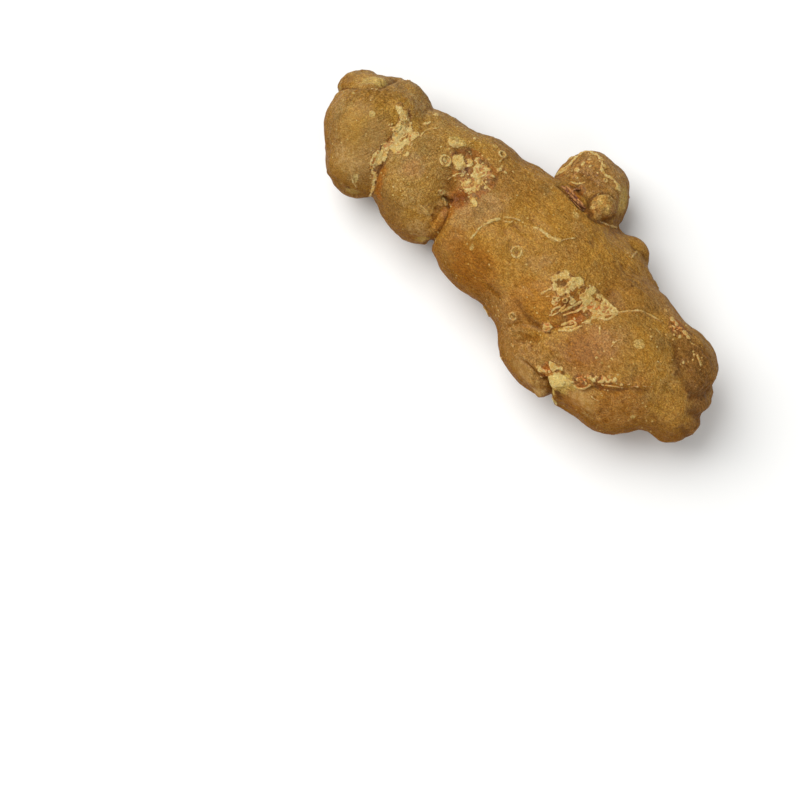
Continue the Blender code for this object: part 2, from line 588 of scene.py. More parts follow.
second = {
    "crumbSeed": 8,
    "crumbs": [
        (478, 168, 11, 26), (468, 187, 8, 14), (498, 168, 7, 9), (458, 172, 9, 8), (430, 165, 18, 7),
        (470, 145, 10, 8),
    ],
    "creases": [
        ([(441, 197), (445, 198), (449, 200), (453, 201)], 0.7, 1.0, 0),
        ([(447, 200), (447, 205), (449, 209)], 0.6, 0.7, 0),
        ([(450, 201), (458, 198), (468, 195)], 1.8, 0.35, 0),
        ([(446, 203), (447, 210), (443, 222), (436, 234), (430, 244), (427, 249)], 1.1, 1.2, 22),
    ],
    "paleLines": [
        ([(442, 197), (445, 201), (446, 206)], 0.4),
        ([(420, 137), (427, 130), (440, 128)], 0.25),
        ([(420, 205), (425, 209), (428, 214)], 0.4),
    ],
    "rootScars": [(445, 161, 5.4), (502, 155, 3.8)],
    "paleSpots": [
        (457, 142, 10.0, 4.6, 25), (445, 161, 5.6, 5.0, 0), (442, 192, 3.4, 3.4, 0),
        (419, 164, 1.5, 1.5, 0), (408, 184, 1.8, 1.8, 0), (488, 160, 1.6, 1.6, 0),
        (501, 168, 1.8, 1.8, 0), (495, 147, 3.0, 2.4, 30),
    ],
    "crust": [
        (457, 158, 4.6), (460, 164, 5.6), (451, 142, 3.4), (456, 144, 4.2), (462, 144, 3.2),
        (470, 163, 2.6), (477, 160, 2.0), (479, 168, 3.6), (481, 174, 4.8), (487, 173, 4.6),
        (492, 176, 2.4), (478, 182, 4.4), (477, 187, 2.6), (484, 168, 2.4), (463, 184, 2.6),
        (466, 188, 3.4), (470, 190, 2.4), (462, 176, 1.8), (474, 190, 2.2), (473, 200, 3.6),
        (476, 204, 2.6), (445, 161, 3.4), (470, 181, 2.2), (473, 175, 1.8), (468, 166, 1.6),
        (475, 168, 1.8), (475, 139, 1.8), (465, 173, 1.6), (486, 188, 1.8), (441, 192, 3.0),
        (502, 168, 2.2), (498, 171, 1.8), (506, 169, 1.4),
    ],
    "crustLines": [
        ([(483, 182), (487, 187), (491, 191)], 0.3),
        ([(447, 180), (455, 175), (462, 173)], 0.25),
    ],
    "stain": [
        (468, 164, 18, 0.9), (481, 178, 17, 1.0), (470, 192, 13, 1.0), (456, 150, 12, 0.5),
        (458, 200, 9, 0.8),
    ],
    # the real dark of the cracks and pits, and painted shade in the crack and under the oval pale scar
    "dark": [
        (464, 170, 4.5, 0.8), (456, 150, 6, 0.5), (465, 152, 6, 0.45), (446, 199, 2.6, 0.9),
        (450, 201, 2.4, 0.8), (448, 206, 2.2, 0.8), (457, 142, 1.6, 0.7), (447, 172, 5, 0.3),
    ],
    # orange of the flesh: a painted glow of light through the flesh around the crack, its own orange on
    # small spots
    "warm": [
        (458, 199, 11, 1.0), (448, 212, 8, 0.8), (440, 222, 10, 0.5), (470, 200, 6, 0.4),
        (412, 168, 8, 0.4),
    ],
    "rough": [(470, 165, 18, 0.8), (484, 180, 14, 0.8), (440, 150, 14, 0.4), (455, 150, 10, 0.6)],
    "yellow": [(425, 240, 9, 0.4), (459, 161, 7, 0.5), (456, 143, 8, 0.4), (473, 201, 5, 0.5)],
    # pale painted glare on the lower lobes
    "paintedLight": [(412, 200, 12, 0.5), (425, 211, 9, 0.6), (400, 185, 10, 0.25), (418, 228, 12, 0.6)],
}

# Middle joint

middle = {
    "crumbSeed": 5,
    "crumbs": [
        (572, 290, 9, 10), (580, 310, 12, 16), (556, 308, 6, 8), (530, 180, 30, 8), (570, 225, 24, 7),
    ],
    "creases": [
        ([(516, 297), (521, 309), (530, 321), (541, 329)], 1.6, 0.3, 0),
        ([(630, 246), (640, 254), (645, 262)], 0.9, 0.4, 0),
        ([(576, 291), (570, 300), (560, 306)], 1.0, 0.15, 0),
    ],
    "paleLines": [
        ([(470, 240), (480, 228), (490, 222), (499, 219)], 0.36),
        ([(488, 222.5), (494, 220), (501, 218.5)], 0.6),
        ([(503, 217), (512, 218), (521, 221)], 0.27),
        ([(503, 221), (509, 222), (514, 221)], 0.27),
        ([(533, 227), (539, 229), (546, 234)], 0.34),
        ([(545, 233), (550, 237), (556, 240), (562, 241)], 0.6),
        ([(560, 241), (567, 239), (576, 238)], 0.24),
        ([(637, 251), (631, 258)], 0.3),
    ],
    "rootScars": [(517, 252, 5.2), (513, 316, 3.6), (555, 299, 2.4), (565, 300, 2.4), (572, 302, 2.2)],
    "paleSpots": [
        (575, 216, 4.4, 4.4, 0), (569, 222, 1.8, 1.8, 0), (643, 246, 3.0, 3.0, 0),
        (472, 247, 2.5, 4.0, 20), (592, 208, 3.0, 2.0, 30),
    ],
    "bulges": [(546, 327, 5, 0.5), (640, 246, 9, 0.4)],
    "crust": [
        (555, 279, 3.2), (554, 287, 2.8), (560, 275, 3.4), (566, 275, 3.4), (572, 279, 3.6),
        (580, 282, 5.2), (571, 286, 3.0), (566, 291, 3.4), (560, 292, 3.4), (592, 290, 4.4),
        (587, 293, 3.6), (584, 298, 4.6), (590, 303, 6.2), (599, 296, 2.6), (585, 307, 4.6),
        (596, 309, 6.4), (605, 305, 4.4), (609, 312, 5.2), (602, 317, 4.4), (547, 327, 4.8),
        (573, 301, 2.0), (568, 296, 2.0), (596, 316, 4.4), (588, 321, 2.6),
    ],
    "crustLines": [
        ([(541, 294), (546, 291), (551, 288)], 0.5),
        ([(545, 297), (550, 296)], 0.3),
        ([(551, 316), (552, 311), (556, 308), (561, 306)], 0.42),
        ([(551, 316), (557, 313), (563, 308), (566, 304)], 0.4),
        ([(560, 312), (567, 309), (575, 305), (582, 301)], 0.42),
        ([(562, 316), (570, 313), (577, 311), (584, 306)], 0.42),
        ([(560, 326), (567, 323), (573, 321), (576, 325), (570, 327), (562, 328)], 0.42),
        ([(580, 324), (588, 321), (597, 318), (606, 320), (613, 317), (617, 312), (610, 305), (603, 298),
          (600, 293)], 0.5),
        ([(557, 330), (563, 330), (569, 331), (576, 329), (583, 325)], 0.5),
        ([(554, 299), (558, 301), (556, 305), (552, 303), (554, 299)], 0.3),
    ],
    "stain": [
        (565, 285, 13, 1.0), (591, 303, 15, 1.0), (575, 311, 15, 1.0), (559, 318, 12, 0.55),
        (604, 313, 9, 1.0),
    ],
    "dark": [
        (563, 283, 3.0, 0.45), (550, 332, 2.2, 0.9), (632, 286, 1.8, 0.7), (636, 282, 1.5, 0.6),
        (577, 305, 3.0, 0.35), (640, 254, 3.0, 0.5),
    ],
    # small spots: the flesh's own orange among the crust; wide ones on the lower flank: a painted glow of
    # light through the flesh
    "warm": [
        (597, 307, 3.0, 1.0), (596, 315, 3.0, 1.0), (605, 315, 2.6, 1.0), (546, 326, 5, 0.5),
        (575, 318, 9, 0.8), (590, 305, 10, 0.7), (556, 300, 10, 0.6), (530, 305, 26, 0.45),
        (475, 270, 26, 0.5), (455, 240, 14, 0.4),
    ],
    "yellow": [
        (592, 294, 6, 0.8), (586, 301, 5, 0.7), (566, 275, 5, 0.5), (577, 281, 6, 0.7),
        (558, 290, 5, 0.5),
    ],
    "rough": [
        (590, 250, 26, 0.4), (625, 275, 24, 0.7), (575, 300, 16, 0.6), (520, 180, 30, 0.45),
        (545, 205, 20, 0.3),
    ],
    # painted shade on the middle joint's flanks that turn away from the light
    "deepShade": [
        (468, 262, 22, 0.6), (484, 288, 14, 0.3), (520, 185, 20, 0.4), (632, 290, 30, 0.5),
        (500, 150, 12, 0.3),
    ],
}

# Last joint, with the flap on its front and the old knobbly end

last = {
    "crumbSeed": 4,
    "crumbs": [
        (677, 327, 6, 10), (604, 380, 11, 14), (546, 369, 6, 8), (640, 340, 30, 10), (690, 352, 10, 6),
        (585, 345, 20, 5),
    ],
    "creases": [
        ([(518, 357), (525, 362), (531, 367), (537, 373), (542, 379), (546, 384)], 0.7, 0.6, 0),
        ([(543, 375), (546, 380), (548, 386), (548, 392), (548, 399)], 1.3, 1.9, 9),
        ([(673, 338), (677, 352), (679, 366), (684, 382), (690, 392)], 1.8, 0.4, 0),
        ([(576, 392), (585, 391), (594, 387), (612, 390), (630, 389), (655, 391)], 1.3, 0.4, 0),
        ([(686, 395), (696, 398), (705, 396), (711, 391)], 2.3, 1.1, 12),
        ([(684, 410), (694, 415), (702, 416)], 2.2, 1.0, 12),
        ([(678, 424), (685, 432), (689, 438)], 1.8, 0.6, 10),
    ],
    "steps": [
        ([(500, 335), (512, 327), (522, 325), (535, 328), (547, 331), (558, 328), (570, 326), (585, 322),
          (600, 318), (617, 313), (640, 312), (648, 316), (662, 323), (668, 331)], -0.6),
    ],
    "paleLines": [
        ([(611, 347), (617, 341), (624, 339)], 0.22),
        ([(697, 354), (701, 367)], 0.3),
        ([(712, 389), (716, 383)], 0.3),
        ([(511, 343), (514, 347)], 0.25),
        ([(617, 313), (630, 311), (640, 311), (650, 315), (662, 322)], 0.3),
        ([(600, 325), (600, 335)], 0.3),
    ],
    "paleSpots": [
        (639, 344, 6.4, 5.4, 0), (612, 359, 1.6, 1.6, 0), (602, 363, 1.6, 1.6, 0),
        (633, 417, 3.0, 3.0, 0), (609, 377, 2.0, 2.0, 0), (658, 331, 3.0, 1.4, 40),
    ],
    "bulges": [
        (554, 366, 5, 0.5), (703, 406, 8, 0.9), (695, 428, 9, 0.8), (684, 440, 9, 0.4),
        (560, 382, 6, 1.0), (685, 335, 7, 0.5), (710, 372, 11, 0.4), (532, 384, 7, 0.6),
        (540, 393, 6, 0.8),
    ],
    "crust": [
        (541, 370, 2.4), (546, 371, 2.0), (554, 367, 3.8), (550, 363, 2.0), (551, 380, 3.4),
        (557, 378, 4.4), (563, 379, 4.0), (569, 382, 3.0), (553, 386, 3.4), (559, 384, 3.4),
        (551, 392, 2.6), (538, 366, 1.6), (561, 369, 1.8), (583, 380, 2.4), (589, 377, 1.8),
        (595, 379, 2.2), (601, 381, 3.2), (605, 377, 1.6), (609, 382, 2.2), (615, 380, 1.6),
        (621, 385, 1.8), (629, 384, 1.4), (637, 387, 1.5), (577, 379, 1.6), (586, 384, 1.4),
        (592, 373, 1.3), (611, 374, 1.2), (676, 324, 2.0), (680, 328, 2.4), (684, 332, 2.2),
        (666, 311, 1.8), (671, 319, 1.6), (688, 338, 1.5), (675, 331, 1.5), (680, 336, 1.7),
        (670, 327, 1.3), (686, 326, 1.3),
    ],
    "crustLines": [
        ([(550, 390), (552, 397), (556, 403), (561, 410), (567, 416)], 0.75),
        ([(573, 385), (578, 388), (585, 388), (592, 384)], 0.4),
        ([(590, 395), (595, 399), (600, 401)], 0.25),
        ([(604, 385), (613, 386), (624, 388)], 0.2),
        ([(630, 387), (642, 386), (655, 387)], 0.14),
    ],
    "stain": [(550, 372, 11, 0.9), (678, 328, 11, 0.9), (580, 382, 9, 0.7), (600, 383, 8, 0.6)],
    "dark": [
        (543, 374, 1.8, 0.8), (546, 379, 2.0, 0.9), (563, 373, 2.0, 0.8), (558, 392, 3.4, 0.8),
        (560, 397, 3.2, 0.7), (548, 386, 2.2, 0.9), (549, 393, 2.2, 0.8), (566, 405, 2.2, 0.5),
        (676, 374, 2.2, 0.7), (688, 391, 2.4, 0.6), (692, 398, 2.0, 0.5), (690, 333, 3.0, 0.6),
    ],
    # orange of the crust and of the old end, and a painted glow of light through the flesh on the wide
    # places
    "warm": [
        (548, 373, 8, 0.9), (582, 382, 8, 0.9), (679, 327, 10, 0.8), (605, 383, 8, 0.5),
        (640, 386, 10, 0.4), (590, 350, 26, 0.4), (620, 408, 26, 0.45), (575, 405, 12, 0.3),
    ],
    # pale painted glare, and painted light on the flap's tip and the lobe below it, which curve away from
    # the light
    "paintedLight": [
        (528, 378, 12, 0.5), (540, 391, 8, 1.0), (516, 362, 8, 0.3), (583, 400, 14, 0.8),
        (592, 412, 12, 0.6), (625, 410, 22, 0.4), (665, 372, 14, 0.3),
    ],
    # painted shade where the last joint turns away from the light and below its ridges
    "deepShade": [
        (580, 350, 18, 0.6), (512, 346, 12, 0.4), (616, 394, 14, 0.35), (590, 392, 8, 0.4),
        (560, 352, 14, 0.3),
    ],
    "yellow": [
        (556, 381, 9, 1.0), (566, 381, 7, 0.8), (551, 390, 5, 1.0), (554, 400, 4, 1.0),
        (561, 409, 5, 0.9), (572, 386, 5, 0.5), (562, 388, 7, 0.4),
    ],
    # dark olive brown of the old end, partly painted shade where it turns away from the light
    "oldAndShaded": [
        (698, 362, 19, 0.9), (700, 386, 17, 0.9), (688, 346, 12, 0.8), (700, 408, 11, 0.9),
        (694, 426, 9, 0.7), (680, 366, 9, 0.6), (682, 334, 8, 0.5), (686, 438, 7, 0.5),
    ],
    "sleek": [(520, 372, 14, 0.8), (535, 388, 9, 0.8), (582, 402, 16, 0.7), (508, 352, 8, 0.7)],
    "rough": [
        (520, 348, 12, 0.6), (532, 354, 12, 0.7), (560, 355, 20, 0.5), (690, 350, 20, 0.9),
        (702, 375, 18, 1.0), (680, 385, 10, 0.5), (675, 326, 10, 0.9), (600, 380, 10, 0.6),
    ],
}

# Side branch, with its round bud

branch = {
    "crumbSeed": 6,
    "crumbs": [(580, 162, 9, 14), (600, 168, 9, 6), (603, 190, 8, 4)],
    "creases": [
        ([(592, 213), (589, 204), (592, 197), (600, 193), (610, 194), (617, 201)], 0.8, 0.8, 0),
        ([(556, 184), (563, 190), (571, 197), (579, 205), (588, 212)], 1.3, 1.3, 0),
        ([(586, 213), (592, 219), (600, 222), (610, 220), (617, 213)], 1.0, 0.6, 0),
    ],
    "paleLines": [([(570, 182), (578, 184), (586, 182)], 0.3)],
    "rootScars": [(605, 181, 2.0)],
    "paleSpots": [(618, 188, 3.5, 6.0, 0), (600, 203, 3.0, 2.4, 0), (607, 206, 3.0, 2.4, 30)],
    "bulges": [
        (603, 207, 11, 0.9), (588, 174, 15, -0.8), (566, 169, 9, -0.9), (577, 159, 9, -0.7),
        (599, 201, 3, 0.35), (606, 199, 3, 0.3), (610, 205, 3, 0.3), (602, 208, 3, 0.3),
        (595, 207, 2.5, 0.25), (607, 212, 3, 0.3), (594, 168, 4, 0.35), (582, 180, 4, 0.3),
        (600, 178, 3, 0.3),
    ],
    "crust": [
        (554, 177, 2.2), (559, 173, 2.6), (565, 169, 2.6), (570, 164, 2.4), (575, 158, 2.8),
        (581, 154, 3.0), (588, 152, 2.8), (594, 154, 2.4), (600, 158, 2.2), (577, 170, 2.0),
        (583, 164, 2.2), (589, 160, 1.8), (605, 181, 1.6), (617, 188, 3.0), (604, 166, 2.0),
        (591, 166, 1.6), (575, 176, 1.6), (598, 174, 1.3),
    ],
    "crustBands": [
        ([(554, 177), (562, 171), (570, 164), (577, 157), (586, 152), (595, 154), (602, 160)], 0.3),
    ],
    "crustLines": [
        ([(602, 160), (602, 169), (605, 175), (611, 178), (616, 183), (620, 191)], 0.65),
        ([(600, 222), (608, 225), (617, 228)], 0.4),
    ],
    "stain": [(582, 162, 10, 0.5), (576, 190, 10, 0.8), (603, 206, 12, 0.6), (560, 174, 8, 0.5)],
    # painted shade in the axil's crevice, with the dark of the fibres there
    "dark": [
        (585, 208, 5, 0.9), (578, 203, 5, 0.9), (571, 198, 4, 0.7), (565, 192, 3, 0.6),
        (590, 214, 4, 0.8), (576, 195, 4, 0.5),
    ],
    # painted glow of light through the flesh in the axil, its own orange elsewhere
    "warm": [(572, 195, 9, 0.9), (606, 224, 8, 0.5), (590, 212, 6, 0.6)],
    # the wide patch on the right is partly painted light on the branch's shaded side
    "yellow": [(624, 200, 13, 0.45), (603, 204, 9, 0.6)],
    "rough": [
        (583, 168, 16, 1.0), (600, 165, 12, 0.8), (603, 205, 12, 0.5), (572, 180, 12, 0.8),
        (595, 185, 12, 0.7),
    ],
    # darker rough inside of the branch, partly painted shade
    "oldAndShaded": [(588, 178, 13, 0.5), (602, 172, 9, 0.35), (572, 178, 9, 0.4), (598, 186, 8, 0.4)],
    # pale painted light on the branch's shaded right side and round its bud
    "paintedLight": [(603, 206, 13, 1.0), (622, 204, 12, 1.0), (617, 172, 8, 0.6), (623, 218, 8, 1.0)],
}
rhizomeJoints = [crown, second, middle, last, branch]

# Rings, folds, scars and bits of crust that go on round the back and the underside

hiddenSide = {
    "folds": {  # between two joints: a point on the fold's axis in mm, and the axis
        "crown": ((-50.4, -7.5, 16), (0.91, 0.41, 0)),
        "second": ((-30, -7, 16), (0.84, 0.54, 0)),
        "last": ((30, -12, 15), (0.61, -0.79, 0)),
        "back": ((26, 2, 14), (0.97, -0.24, 0)),
    },
    "creases": [  # fold, first and last degree, depth in mm
        ("crown", 96, 300, 0.9), ("second", 100, 290, 0.9), ("last", 100, 262, 0.8),
    ],
    "crust": [  # torn crust: fold, first and last degree, width in mm
        ("crown", 262, 296, 0.5), ("crown", 112, 128, 0.2), ("second", 266, 284, 0.3),
        ("last", 196, 214, 0.2), ("back", 268, 286, 0.3),
    ],
    "creaseWidth": 1.2,  # mm
    "creaseWobble": 1.5,
    "crustWobble": 3.0,
    # how dark the bottom of a hidden fold is painted, as painted shade
    "creaseTint": 0.35,
    "rings": [  # a point on the joint's axis in mm and its direction in degrees
        (-63, -2, -10), (-57, -3, -12), (-42, -5, -20), (-36, -4, -25), (-16, 0, 0), (-6, -2, 4),
        (5, -3, 0), (15, -5, -4), (26, -6, -14), (44, -12, -16), (52, -9, -8), (60, -6, -6),
        (4.2, 26, 80), (4.6, 30, 86),
    ],
    "ringHeight": 15,  # mm from the floor to the joints' axes
    "ringEnds": (92, 330),  # degrees
    "arcs": (20, 75),
    "gaps": (8, 45),
    "tilt": 14,  # degrees that a ring's arcs are turned at most
    "wobble": 6.0,  # mm
    "girth": 25,  # mm from the axis to the outermost skin that a ring runs over
    "lineWidth": (0.1, 0.3),
    "threadLess": 0.08,  # mm that the cork on a ring line is narrower
    "scars": 64,
    "scarTries": 5000,  # places that are drawn, of which the scars take those that suit
    "scarRadius": (0.6, 1.7),  # mm
    "scarsFacing": 0.12,  # skin whose normal leans more to the camera gets none
    "scarsFrom": 2.5,  # mm above the floor
    "apart": 4.2,  # mm between two scars
    "lumps": [  # nearest place in mm, radius and rise
        ((-4, 33, 16), 4.0, 0.8), ((9, 33, 8), 4.0, 0.7), ((13, 29, 15), 3.4, -0.6),
        ((2, 35, 6), 3.6, -0.7), ((-7, 27, 10), 3.4, 0.7), ((6, 34, 17), 3.0, -0.6),
        ((15, 24, 8), 3.4, 0.6), ((-15, 21, 14), 5.0, 0.6), ((-26, 17, 18), 4.0, 0.5),
        ((-9, 20, 9), 4.5, -0.5), ((30, 18, 14), 5.0, 0.6), ((40, 13, 20), 4.0, -0.5),
        ((52, 10, 12), 4.5, 0.6), ((66, 4, 8), 4.0, -0.6), ((-44, 12, 12), 4.0, -0.5),
        ((-59, 14, 17), 6.0, -1.5), ((-70, -8, 14), 4.0, -0.5), ((-60, -17, 12), 4.0, 0.6),
        ((40, -31, 8), 5.0, -0.5), ((10, -23, 8), 5.0, 0.5),
    ],
    "seed": 12,
}
basePoints, baseNormals = points.copy(), normals.copy()


def pressFolds():
    # the folds between the joints, lumps, and torn crust in the folds
    width, tint = hiddenSide["creaseWidth"], hiddenSide["creaseTint"]
    for fold, start, end, depth in hiddenSide["creases"]:
        place, axis = hiddenSide["folds"][fold]
        crease(ringPath(place, axis, start, end, hiddenSide["creaseWobble"]), width, depth, tint)
    for place, radius, rise in hiddenSide["lumps"]:
        bulge(nearest(place), radius, rise)
    for fold, start, end, width in hiddenSide["crust"]:
        place, axis = hiddenSide["folds"][fold]
        path = unseen(ringPath(place, axis, start, end, hiddenSide["crustWobble"], start))
        addCrust(pathField(path)[0] - width)


def pressRings(draw):
    # broken rings, each of arcs and gaps
    for k, (x, y, heading) in enumerate(hiddenSide["rings"]):
        centre = (x, y, hiddenSide["ringHeight"])
        start, last = hiddenSide["ringEnds"]
        start += draw.randint(*hiddenSide["gaps"])
        while start < last:
            end = start + draw.randint(*hiddenSide["arcs"])
            a = math.radians(heading + draw.uniform(-1, 1) * hiddenSide["tilt"])
            axis = (math.cos(a), -math.sin(a), 0)
            path = ringPath(centre, axis, start, min(end, last), hiddenSide["wobble"], k)
            path = unseen(p for p in path if (p - Vector(centre) * mm).length < hiddenSide["girth"] * mm)
            width = draw.uniform(*hiddenSide["lineWidth"])
            paleLine(path, width)
            thread(path, width - hiddenSide["threadLess"])
            start = end + draw.randint(*hiddenSide["gaps"])


def scarPlaces(draw):
    # places well apart from each other on the skin that the photograph doesn't show
    places = []
    for k in draw.sample(range(len(basePoints)), hiddenSide["scarTries"]):
        place, normal = Vector(basePoints[k]), Vector(baseNormals[k])
        if normal.dot(viewBack) > hiddenSide["scarsFacing"] or place.z < hiddenSide["scarsFrom"] * mm:
            continue
        if all((place - other).length > hiddenSide["apart"] * mm for other, up in places):
            places.append((place, normal))
        if len(places) == hiddenSide["scars"]:
            break
    return places


def pressScars(draw):
    # root scars, pale discs, lumps and pale dots in turn
    for k, spot in enumerate(scarPlaces(draw)):
        radius = draw.uniform(*hiddenSide["scarRadius"])
        if k % 4 == 0:
            rootScar(spot, radius, 0.24)
        elif k % 4 == 1:
            paleSpot(spot, radius, radius * draw.uniform(0.4, 1.0), draw.uniform(0, 180))
        elif k % 4 == 2:
            bulge(spot, 1.6 * radius, draw.uniform(0.2, 0.6))
        else:
            paleSpot(spot, 0.4 * radius)


def pressAllMarks():
    startMarks()
    for joint in rhizomeJoints:
        pressMarks(joint)
    draw = random.Random(hiddenSide["seed"])
    pressFolds()
    pressRings(draw)
    pressScars(draw)


# Relief of the whole skin

relief = {
    "swells": [(17, 0.6), (8, 0.4), (4.2, 0.24), (2.2, 0.13)],  # size and height in mm
    "swellSeed": 20,
    "wrinkleSize": 1.9,
    "wrinkleHeight": 0.15,
    "wrinkleLengths": (4.5, 4),  # in sizes, along the body and across the crown
    "wrinkleSharpness": 2.4,
    "sleekShare": 0.75,  # share of the wrinkles that sleek skin lacks
    "roughHeight": 0.32,
    "roughNoise": [(1.0, 1.6, 41), (0.6, 0.8, 42)],
    "roundwise": 24.0,  # degrees that the crown's and the second joint's axis is turned
    "turnsAt": (-34, -18),  # mm along X between which the folds turn
    "crustHeight": 0.1,
    "crustLumps": 0.08,
    "edgeNoise": [(0.6, 2.6, 5)],
    "flatTo": (0.15, 2.2),  # mm above the floor between which the relief grows to full height
    "meanRounds": {"fine": 6, "wide": 40, "tilt": 25},  # more take in a wider neighbourhood
    "hollows": (6, 2),  # a mm; how much the small hollows count, and the wide ones; the hollows get painted shade
    "flank": (0.86, 0.8),  # upward share of the normal where a flank starts, and how much less ends it; the flanks get painted shade
    "front": (-0.5, 0.4),  # forward share of the normal at the back and at the front
}


def wrinkleField():
    # folds lie along the middle and last joints and across the crown and the second one
    size, sharpness = relief["wrinkleSize"], relief["wrinkleSharpness"]
    onward, over = relief["wrinkleLengths"]
    along = 1 - abs(lumps(size, 3, (onward, 1, 1))) * sharpness
    across = 1 - abs(lumps(size, 4, (1, over, over), relief["roundwise"])) * sharpness
    part = soft(points[:, 0] / mm, *relief["turnsAt"])
    return along * part + across * (1 - part)


def shapeSkin():
    # the marks, the skin under the crust, swells, wrinkles and rough places
    pressAllMarks()
    masks["crust"] = soft(mixedLumps(relief["edgeNoise"]) - crustEdge(), -0.8, 0.35)
    height[:] += masks["crust"] * (relief["crustHeight"] + relief["crustLumps"] * lumps(1.0, 9))
    for k, (size, rise) in enumerate(relief["swells"]):
        height[:] += rise * lumps(size, relief["swellSeed"] + k)
    quiet = 1 - relief["sleekShare"] * masks["sleek"]
    height[:] += relief["wrinkleHeight"] * quiet * wrinkleField()
    height[:] += relief["roughHeight"] * masks["rough"] * mixedLumps(relief["roughNoise"])


def refineMarks():
    # smaller faces where the marks are
    masks["crust"] = soft(-crustEdge(), -0.8, 0.2)
    need = np.abs(height) + sum(masks.values())
    form = formOf(skin)
    form.verts.ensure_lookup_table()
    room = (skinMesh["mostTriangles"] - 2 * len(form.faces)) // skinMesh["splitCost"]
    worth = np.array([max(need[v.index] for v in f.verts) for f in form.faces])
    least = np.sort(worth)[-room]
    edges = set(e for f in form.faces if worth[f.index] > least for e in f.edges)
    bmesh.ops.subdivide_edges(form, edges=list(edges), cuts=1, use_grid_fill=True)
    form.to_mesh(skin)
    form.free()
    print("Marks need more than", round(float(least), 3), "for small faces:", len(skin.vertices), "points")


pressAllMarks()
refineMarks()
points, normals = meshPoints(skin)
shapeSkin()
print("Marks pressed")


def meanOfNeighbours(values, rounds):
    # each point's value becomes the mean of its neighbours' values, over and over
    ends = np.empty(len(skin.edges) * 2, dtype=np.int64)
    skin.edges.foreach_get("vertices", ends)
    a, b = ends.reshape(-1, 2).T
    count = np.bincount(a, minlength=len(values)) + np.bincount(b, minlength=len(values))
    for turn in range(rounds):
        total = np.zeros_like(values)
        for axis in range(values.shape[1]):
            total[:, axis] = np.bincount(a, values[b, axis], len(values))
            total[:, axis] += np.bincount(b, values[a, axis], len(values))
        values = total / count[:, None]
    return values


def moveSkin():
    # applies the heights, keeps the underside's flats, and marks the flanks and the hollows, which the
    # skin's material darkens with painted shade, and the front, which picks the tone of that shade
    global points, normals
    pushOut(skin, height * soft(points[:, 2] / mm, *relief["flatTo"]))
    points, normals = meshPoints(skin)
    rounds = relief["meanRounds"]
    fine = meanOfNeighbours(points, rounds["fine"])
    wide = meanOfNeighbours(fine, rounds["wide"])
    tilt = meanOfNeighbours(normals, rounds["tilt"])
    upright, reach = relief["flank"]
    masks["flank"] = soft(upright - tilt[:, 2], 0.0, reach)
    masks["front"] = soft(-tilt[:, 1], *relief["front"])
    small, large = relief["hollows"]
    masks["hollow"] = ((fine - points) * normals).sum(1) / mm * small
    masks["hollow"] += ((wide - fine) * normals).sum(1) / mm * large


moveSkin()
keepMasks(skin, masks)
rhizome = addObject("rhizomeSkin", skin)
shadeSmooth(skin)
print("Skin shaped:", triangles(skin), "triangles")


# Cork: the patches, threads and rims lie in the finished skin as pieces of their own

cork = {
    "pieces": {"crownCork": (-far, -0.012), "bodyCork": (-0.012, far)},  # metres along X, by a bit's middle
    "reach": 0.6,  # mm of skin taken along round the cork
    "sunk": 0.35,  # mm that the edge lies below the skin
    "plate": 0.24,  # mm that a patch stands out, ridges and all
    "hollow": 0.05,
    "fray": 0.045,
    "deepest": 0.2,  # mm below the skin, past which no cork is kept
    "thickness": 0.4,
    "torn": [(0.5, 2.0, 5), (0.5, 1.0, 6), (0.3, 0.5, 7)],  # share, size in mm and seed of each noise
    "threadNoise": [(0.1, 1.2, 8), (0.12, 0.5, 9)],
    "solid": [(1.0, 3.4, 11), (0.6, 1.1, 12)],
    "frayNoise": [(1.0, 0.7, 13), (1.0, 0.4, 14)],
    "ridgeSize": 1.6,
    "ridgeSharpness": 3.4,
    "masks": ["warm", "yellow", "dark"],  # of the joints' marks, those that colour the cork too
}


def cutCork():
    # the faces of the skin that carry cork, split finer
    near = np.minimum(crustEdge(), threadEdge) < cork["reach"]
    form = formOf(skin)
    bare = [f for f in form.faces if not all(near[v.index] for v in f.verts)]
    bmesh.ops.delete(form, geom=bare, context="FACES")
    bmesh.ops.subdivide_edges(form, edges=form.edges[:], cuts=1, use_grid_fill=True)
    return meshOf(form, "corkSheet")


def corkRelief():
    # torn plates, solid in places and a net of ridges in others, and frayed threads
    plates = -(crustEdge() + mixedLumps(cork["torn"]))
    threads = -(threadEdge + mixedLumps(cork["threadNoise"]))
    ridges = soft(1 - cork["ridgeSharpness"] * abs(lumps(cork["ridgeSize"], 10)), 0.05, 0.75)
    solid = soft(mixedLumps(cork["solid"]), -0.25, 0.25)
    filled = np.maximum(np.maximum(0.85 * solid, ridges), soft(masks["yellow"], 0.2, 0.7))
    level = soft(plates, -0.02, 0.16) * np.clip(0.2 + 0.7 * filled + 0.35 * hump(plates - 0.2, 0.16), 0, 1)
    level = np.maximum(level, 0.85 * soft(threads, -0.02, 0.12))
    inside = np.maximum(plates, threads)
    rise = cork["plate"] * level + cork["hollow"] + cork["fray"] * mixedLumps(cork["frayNoise"])
    return rise - (cork["sunk"] + rise) * soft(-inside, -0.02, 0.3), level


def withoutBuried(mesh, rise):
    # a copy without the faces that lie wholly under the skin
    form = formOf(mesh)
    buried = [f for f in form.faces if max(rise[v.index] for v in f.verts) < -cork["deepest"]]
    bmesh.ops.delete(form, geom=buried, context="FACES")
    return meshOf(form, "corkShown")


def bitsOf(form):
    # the faces in lists that hang together
    left = set(form.faces)
    while left:
        bit = [left.pop()]
        for face in bit:
            for other in {f for edge in face.edges for f in edge.link_faces} & left:
                left.remove(other)
                bit.append(other)
        yield bit


